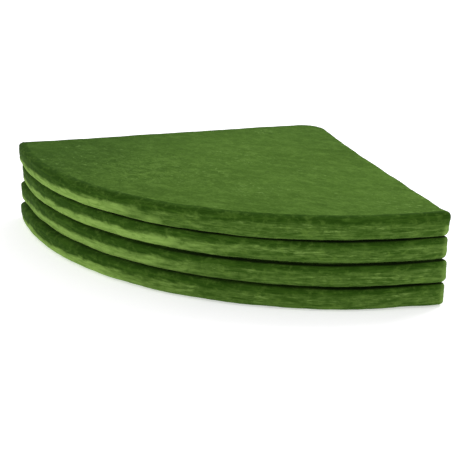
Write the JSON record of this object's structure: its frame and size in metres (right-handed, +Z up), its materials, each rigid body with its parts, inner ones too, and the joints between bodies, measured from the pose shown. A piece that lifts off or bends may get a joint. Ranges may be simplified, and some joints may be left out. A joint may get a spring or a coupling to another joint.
{
  "type": "folding round mat",
  "caption": "Round padded velvet floor mat that folds zigzag into a stack of quarter-circle foam panels, joined by fabric hinge strips, with zipped covers.",
  "frame": {"origin": "on the floor, under the middle of the folded stack's outline seen from above", "axes": "+Z up; the corner at the mat's centre points to +Y; the curved edge faces -Y; the two tips point to +X and -X"},
  "size_m": [1.1124, 0.7725, 0.1992],
  "materials": {
    "velvet": "crushed velvet pile",
    "velvet_edge": "crushed velvet pile",
    "foam": "open-cell polyurethane foam",
    "zip_nylon": "woven tape with nylon coil",
    "zip_metal": "nickel-plated zinc"
  },
  "bodies": {
    "panel_1": {"panel_1_foam_core": "foam", "panel_1_play_sheet": "velvet", "panel_1_floor_sheet": "velvet", "panel_1_curved_band": "velvet_edge", "panel_1_plain_side_band": "velvet_edge", "panel_1_zip_band_upper": "velvet_edge", "panel_1_zip_band_lower": "velvet_edge", "panel_1_zip_tape_upper": "zip_nylon", "panel_1_zip_tape_lower": "zip_nylon", "hinge_strip_1_2": "velvet_edge"},
    "panel_2": {"panel_2_foam_core": "foam", "panel_2_play_sheet": "velvet", "panel_2_floor_sheet": "velvet", "panel_2_curved_band": "velvet_edge", "panel_2_plain_side_band": "velvet_edge", "panel_2_zip_band_upper": "velvet_edge", "panel_2_zip_band_lower": "velvet_edge", "panel_2_zip_tape_upper": "zip_nylon", "panel_2_zip_tape_lower": "zip_nylon", "hinge_strip_2_3": "velvet_edge"},
    "panel_3": {"panel_3_foam_core": "foam", "panel_3_play_sheet": "velvet", "panel_3_floor_sheet": "velvet", "panel_3_curved_band": "velvet_edge", "panel_3_plain_side_band": "velvet_edge", "panel_3_zip_band_upper": "velvet_edge", "panel_3_zip_band_lower": "velvet_edge", "panel_3_zip_tape_upper": "zip_nylon", "panel_3_zip_tape_lower": "zip_nylon", "hinge_strip_3_4": "velvet_edge"},
    "panel_4": {"panel_4_foam_core": "foam", "panel_4_play_sheet": "velvet", "panel_4_floor_sheet": "velvet", "panel_4_curved_band": "velvet_edge", "panel_4_plain_side_band": "velvet_edge", "panel_4_zip_band_upper": "velvet_edge", "panel_4_zip_band_lower": "velvet_edge", "panel_4_zip_tape_upper": "zip_nylon", "panel_4_zip_tape_lower": "zip_nylon"},
    "panel_1_zip_slider": {"panel_1_zip_slider": "zip_metal"},
    "panel_1_zip_pull": {"panel_1_zip_pull": "zip_metal"},
    "panel_2_zip_slider": {"panel_2_zip_slider": "zip_metal"},
    "panel_2_zip_pull": {"panel_2_zip_pull": "zip_metal"},
    "panel_3_zip_slider": {"panel_3_zip_slider": "zip_metal"},
    "panel_3_zip_pull": {"panel_3_zip_pull": "zip_metal"},
    "panel_4_zip_slider": {"panel_4_zip_slider": "zip_metal"},
    "panel_4_zip_pull": {"panel_4_zip_pull": "zip_metal"}
  },
  "joints": [
    {"name": "hinge_1_2", "type": "hinge", "parent": "panel_1", "child": "panel_2", "pos_m": [0, 0.41351, 0.0496], "axis": [-0.7071, 0.7071, 0], "range_deg": [0, 179.9], "deforming": ["hinge_strip_1_2"]},
    {"name": "hinge_2_3", "type": "hinge", "parent": "panel_2", "child": "panel_3", "pos_m": [0, 0.41351, 0.0996], "axis": [-0.7071, -0.7071, 0], "range_deg": [0, 179.9], "deforming": ["hinge_strip_2_3"]},
    {"name": "hinge_3_4", "type": "hinge", "parent": "panel_3", "child": "panel_4", "pos_m": [0, 0.41351, 0.1496], "axis": [-0.7071, 0.7071, 0], "range_deg": [0, 179.9], "deforming": ["hinge_strip_3_4"]},
    {"name": "zip_1_slide", "type": "slide", "parent": "panel_1", "child": "panel_1_zip_slider", "axis": [-0.7071, 0.7071, 0], "range_m": [0, 0.66]},
    {"name": "zip_1_pull_swing", "type": "hinge", "parent": "panel_1_zip_slider", "child": "panel_1_zip_pull", "pos_m": [0.52669, -0.11339, 0.0246], "axis": [0, 0, -1], "range_deg": [0, 180]},
    {"name": "zip_2_slide", "type": "slide", "parent": "panel_2", "child": "panel_2_zip_slider", "axis": [0.7071, 0.7071, 0], "range_m": [0, 0.66]},
    {"name": "zip_2_pull_swing", "type": "hinge", "parent": "panel_2_zip_slider", "child": "panel_2_zip_pull", "pos_m": [-0.52669, -0.11339, 0.0746], "axis": [0, 0, 1], "range_deg": [0, 180]},
    {"name": "zip_3_slide", "type": "slide", "parent": "panel_3", "child": "panel_3_zip_slider", "axis": [-0.7071, 0.7071, 0], "range_m": [0, 0.66]},
    {"name": "zip_3_pull_swing", "type": "hinge", "parent": "panel_3_zip_slider", "child": "panel_3_zip_pull", "pos_m": [0.52669, -0.11339, 0.1246], "axis": [0, 0, -1], "range_deg": [0, 180]},
    {"name": "zip_4_slide", "type": "slide", "parent": "panel_4", "child": "panel_4_zip_slider", "axis": [0.7071, 0.7071, 0], "range_m": [0, 0.66]},
    {"name": "zip_4_pull_swing", "type": "hinge", "parent": "panel_4_zip_slider", "child": "panel_4_zip_pull", "pos_m": [-0.52669, -0.11339, 0.1746], "axis": [0, 0, 1], "range_deg": [0, 180]}
  ]
}
